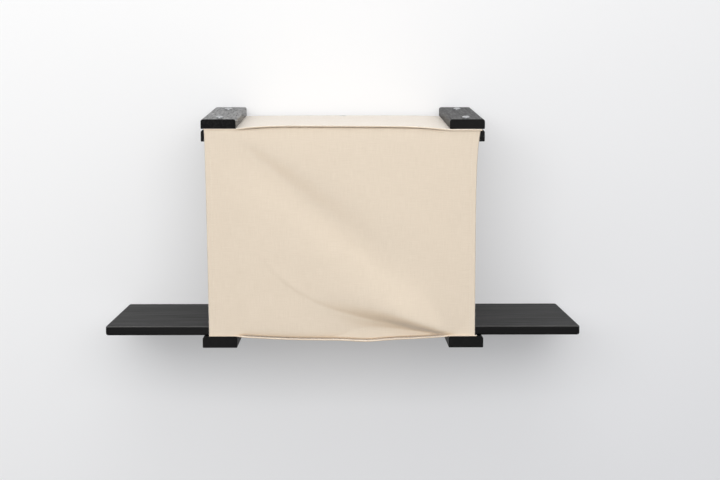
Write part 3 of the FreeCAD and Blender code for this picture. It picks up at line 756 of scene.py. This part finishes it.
def bottom_roll(x, above_seam):
    """How the panel swells over the plank's edge and turns in again at the bottom seam."""
    height = np.clip(above_seam, 0.0, None)
    belly = BELLY * (1 - np.exp(-height / BELLY_ROLL)) * np.exp(-height / BELLY_FADE)
    tuck = TUCK_DEPTH * (1 - ease(0.0, TUCK_HEIGHT, height))
    left_more = ROLL_RIGHT_SHARE + (1 - ROLL_RIGHT_SHARE) * ease(*ROLL_GROWS, x)
    return between_arms(x, TURN_FADE) * left_more * (belly - tuck)


def top_tuck(x, below_seam):
    """How far the panel turns in under the top seam, with a rounded shoulder below."""
    depth = np.clip(below_seam, 0.0, None)
    tuck = TOP_TUCK_DEPTH * np.exp(-depth / TOP_TUCK_HEIGHT)
    shoulder = SHOULDER_DEPTH * np.exp(-depth / SHOULDER_HEIGHT)
    return (tuck + shoulder) * between_arms(x, TURN_FADE)


def front_place(u, v):
    """The front panel, held at its seams, swelling between them, folded and pressed on the plank's edge."""
    below_top = np.clip(v, 0.0, None)
    left = FRONT_LEFT + FRONT_LEFT_DRAW * below_top ** FRONT_LEFT_DRAW_POWER
    right = FRONT_RIGHT - FRONT_RIGHT_DRAW * (1 - np.exp(-below_top / FRONT_RIGHT_DRAW_SHARE))
    x = left + (right - left) * u
    top, bottom = seam_heights(x)
    z = top + (bottom - top) * v

    held = np.sin(math.pi * np.clip(v, 0.0, 1.0)) ** FRONT_SWELL_POWER
    side = np.clip(1 - np.abs(2 * u - 1) ** FRONT_SIDE_POWER, 0.0, None)
    swell = FRONT_SWELL * side * held
    wrinkled = held * (WRINKLE_SIDE_SHARE + (1 - WRINKLE_SIDE_SHARE) * side)
    soft = WRINKLE_HEIGHT * wrinkles(x, z) * wrinkled
    pulled = pull_fold(x, z)
    pulled *= np.where(pulled > 0, ease(*PULL_CLEARS_SEAM, z - bottom), 1.0)
    folds = valley(x, z) * side * held ** VALLEY_HELD_POWER + pulled
    held_y = FRONT_TOP_Y + (FRONT_BOTTOM_Y - FRONT_TOP_Y) * v
    y = held_y - swell - soft - folds - bottom_roll(x, z - bottom) + top_tuck(x, top - z)

    under = between_arms(x, TURN_FADE) * (1 - ease(0.0, TUCK_HEIGHT, z - bottom))
    pressed = np.maximum(y - (PLANK_FRONT - CLOTH + TUCK_DEPTH * under), 0.0)
    pressed *= 1 - ease(PLANK_TOP, PLANK_TOP + STEP, z)
    return np.stack([x, y - pressed, z], axis=-1)


def front_thickness(u, v):
    return CLOTH + hem(u * FRONT_WIDTH) + hem((1 - u) * FRONT_WIDTH)


# Stitching

def rows_across(width, length, lip, seam_end=None):
    """Rows of stitches in a front seam and a back hem, from arm to arm or to seam_end."""
    left, right = 0.5 - ARM_INNER / width, 0.5 + ARM_INNER / width
    seam = LIP_ROW_SHARE * lip / length
    back = 1 - STITCH_FROM_EDGE / length
    return [((left, seam), (seam_end or right, seam)), ((left, back), (right, back))]


def rows_along(width):
    """Rows of stitches in two side hems."""
    side = STITCH_FROM_EDGE / width
    start, end = SIDE_ROW_ENDS
    return [((share, start), (share, end)) for share in (side, 1 - side)]


def stitch_shape():
    """One stitch along X: a plump thread that dives into the cloth at both ends.
    Its rings are given by place, size and rise, in stitch lengths and thread radii."""
    vertices = []
    for place, size, rise in STITCH_RINGS:
        for k in range(THREAD_SIDES):
            turn = 2 * math.pi * k / THREAD_SIDES
            vertices.append((place * STITCH_LENGTH, THREAD_RADIUS * size * math.cos(turn),
                             THREAD_RADIUS * (size * math.sin(turn) + rise)))
    faces = []
    last = (len(STITCH_RINGS) - 1) * THREAD_SIDES
    for ring in range(0, last, THREAD_SIDES):
        for k in range(THREAD_SIDES):
            a, b = ring + k, ring + (k + 1) % THREAD_SIDES
            faces.append((a, b, b + THREAD_SIDES, a + THREAD_SIDES))
    faces.append(tuple(range(THREAD_SIDES))[::-1])
    faces.append(tuple(range(last, last + THREAD_SIDES)))
    return np.array(vertices), faces


def stitching(name, panel, finish):
    """The rows of stitches on a sheet."""
    shape, shape_faces = stitch_shape()
    place = panel.place
    vertices, faces = [], []
    for start, end in panel.rows:
        ends = place(np.array([start[0], end[0]]), np.array([start[1], end[1]]))
        count = int(np.linalg.norm(ends[1] - ends[0]) / STITCH_PITCH)
        shares = (np.arange(count) + 0.5) / count
        u = start[0] + (end[0] - start[0]) * shares
        v = start[1] + (end[1] - start[1]) * shares
        across = place(u + NEARBY, v) - place(u - NEARBY, v)
        along = place(u, v + NEARBY) - place(u, v - NEARBY)
        normals, along_u, along_v = directions(across, along, panel.outward)
        run = along_v if abs(end[1] - start[1]) > abs(end[0] - start[0]) else along_u
        sideways = np.cross(normals, run)
        seats = place(u, v) + normals * panel.thickness(u, v)[:, None] / 2
        for seat, x_axis, y_axis, z_axis in zip(seats, run, sideways, normals):
            first = len(vertices)
            vertices.extend(seat + shape @ np.stack([x_axis, y_axis, z_axis]))
            faces.extend(tuple(first + k for k in face) for face in shape_faces)
    piece = new_piece(name, [tuple(vertex) for vertex in vertices], faces, finish)
    piece.data.shade_smooth()
    return piece


# The sling

PANELS = {
    "canvas_top": Panel(top_place, top_thickness, TOP_WIDTH, TOP_LENGTH, outward=1,
                        rows=rows_across(TOP_WIDTH, TOP_LENGTH, TOP_LIP, TOP_ROW_END),
                        rests_on=["left_top_arm", "right_top_arm"]),
    "canvas_bottom": Panel(bottom_place, bottom_thickness, BOTTOM_WIDTH, BOTTOM_LENGTH, outward=-1,
                           rows=rows_across(BOTTOM_WIDTH, BOTTOM_LENGTH, BOTTOM_LIP),
                           rests_on=["left_bottom_arm", "right_bottom_arm"]),
    "canvas_front": Panel(front_place, front_thickness, FRONT_WIDTH, FRONT_LENGTH, outward=-1,
                          rows=rows_along(FRONT_WIDTH), rests_on=["canvas_top", "canvas_bottom"]),
}


def drill(piece, ending, radius, depth):
    """Cuts a round hole through a sheet for each fastener whose name has this ending."""
    fasteners = [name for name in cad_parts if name.endswith(ending)]
    for name in fasteners:
        low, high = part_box(name)
        centre = (low + high) / 2
        bpy.ops.mesh.primitive_cylinder_add(vertices=HOLE_SIDES, radius=radius, depth=depth, location=centre)
        cutter = bpy.context.object
        cut = piece.modifiers.new("hole", "BOOLEAN")
        cut.operation, cut.solver, cut.object = "DIFFERENCE", "EXACT", cutter
        bpy.context.view_layer.objects.active = piece
        bpy.ops.object.modifier_apply(modifier=cut.name)
        bpy.data.objects.remove(cutter)


def make_canvas():
    """The three panels of the sling, with their holes and stitching."""
    cotton, sewn = canvas(), thread()
    sheets = {name: sheet_piece(name, panel, cotton) for name, panel in PANELS.items()}
    drill(sheets["canvas_top"], "clamp_bolt", BOLT_HOLE_RADIUS, BOLT_CUT)
    drill(sheets["canvas_top"], "back_hem_grommet", GROMMET_HOLE_RADIUS, GROMMET_CUT)
    drill(sheets["canvas_bottom"], "plank_bolt", BOLT_HOLE_RADIUS, BOLT_CUT)
    for name, panel in PANELS.items():
        piece = sheets[name]
        stitches = stitching(f"{name}_stitching", panel, sewn)
        for part in (piece, stitches):
            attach(part, "root")
        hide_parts(f"{name}_panel")


# Stage, light and camera

def backdrop(name, shades, glow):
    """A pale painted surface, seen only from its front. shades are its darkest and lightest colours,
    from low right to high left, as a painted falloff of light, and glow is the share of its paleness that it
    gives off itself as painted light, which no shadow dims."""
    material, tree, shader = new_material(name)
    place = object_place(tree)
    x, _, z = axes(tree, place)
    # painted falloff of light: darker to the low right, lighter to the high left
    slant = weighted_sum(tree, z, PALER_UP, x, -PALER_LEFT)
    lighter = maths(tree, "ADD", slant, PALER_START)
    colour = ramp(tree, lighter, (0.0, 1.0), shades)
    plaster = noise_value(tree, place, (55.0, 55.0, 55.0), 3.0, 0.5)
    set_inputs(tree, shader, {
        "Base Color": mix_colour(tree, glow, colour, (0.0, 0.0, 0.0)),
        "Roughness": 0.9,
        "Specular IOR Level": 0.0,
        "Emission Color": colour,
        "Emission Strength": maths(tree, "MULTIPLY", shown(tree), glow),
        "Normal": bump(tree, plaster, PLASTER_DEPTH, 0.15),
    })
    behind = add(tree, "ShaderNodeNewGeometry").outputs["Backfacing"]
    clear = add(tree, "ShaderNodeBsdfTransparent").outputs[0]
    seen = add(tree, "ShaderNodeMixShader", {0: behind, 1: shader.outputs[0], 2: clear}).outputs[0]
    tree.links.new(seen, tree.nodes["Material Output"].inputs["Surface"])
    return material


def stage_plane(name, corners, finish):
    plane = new_piece(name, corners, [(0, 1, 2, 3)], finish)
    return plane


def make_stage():
    """The wall behind the bed and a pale floor below it."""
    left, right = -STAGE_HALF, STAGE_HALF
    wall = stage_plane("wall", [(left, WALL_BEHIND, FLOOR_Z), (right, WALL_BEHIND, FLOOR_Z),
                                (right, WALL_BEHIND, WALL_TOP), (left, WALL_BEHIND, WALL_TOP)],
                       backdrop("wall_backdrop", WALL_SHADES, WALL_GLOW))
    floor = stage_plane("floor", [(left, FLOOR_FRONT, FLOOR_Z), (right, FLOOR_FRONT, FLOOR_Z),
                                  (right, FLOOR_BACK, FLOOR_Z), (left, FLOOR_BACK, FLOOR_Z)],
                        backdrop("floor_backdrop", FLOOR_SHADES, FLOOR_GLOW))
    wall.visible_diffuse = floor.visible_diffuse = False
    wall.visible_shadow = False


def softbox(name, place, target, size, power):
    lamp = bpy.data.lights.new(name, "AREA")
    lamp.shape = "RECTANGLE"
    lamp.size, lamp.size_y = size
    lamp.energy = power
    holder = bpy.data.objects.new(name, lamp)
    holder.location = place
    holder.rotation_euler = (Vector(target) - Vector(place)).to_track_quat("-Z", "Y").to_euler()
    bpy.context.scene.collection.objects.link(holder)


def make_light():
    """Soft light from the front, a little left, and from above, with a white dome that is brighter above.
    Where the dome is seen, it is an even pale colour instead."""
    softbox("front", **FRONT_LAMP)
    softbox("overhead", **OVERHEAD_LAMP)
    world = bpy.data.worlds.new("surround")
    world.use_nodes = True
    tree = world.node_tree
    light = tree.nodes["Background"]
    upward = axes(tree, add(tree, "ShaderNodeTexCoord").outputs["Generated"])[2]
    dome = remap(tree, upward, -1.0, 1.0, DOME_BELOW, DOME_ABOVE)
    set_inputs(tree, light, {"Color": (1.0, 1.0, 1.0, 1.0), "Strength": dome})
    seen = add(tree, "ShaderNodeBackground", {"Color": (*SURROUND, 1.0), "Strength": 1.0})
    both = add(tree, "ShaderNodeMixShader", {0: shown(tree), 1: light.outputs[0], 2: seen.outputs[0]})
    tree.links.new(both.outputs[0], tree.nodes["World Output"].inputs["Surface"])
    bpy.context.scene.world = world


def make_camera():
    lens = bpy.data.cameras.new("photograph")
    lens.lens = CAMERA_LENS
    lens.sensor_width = SENSOR_WIDTH
    camera = bpy.data.objects.new("photograph", lens)
    camera.location = CAMERA_PLACE
    camera.rotation_euler = (math.radians(90 - CAMERA_PITCH_DOWN), 0.0, -math.radians(CAMERA_YAW_RIGHT))
    bpy.context.scene.collection.objects.link(camera)
    bpy.context.scene.camera = camera


dress_frame()
make_canvas()
make_stage()
make_light()
make_camera()
bpy.context.scene.view_settings.view_transform = "Standard"
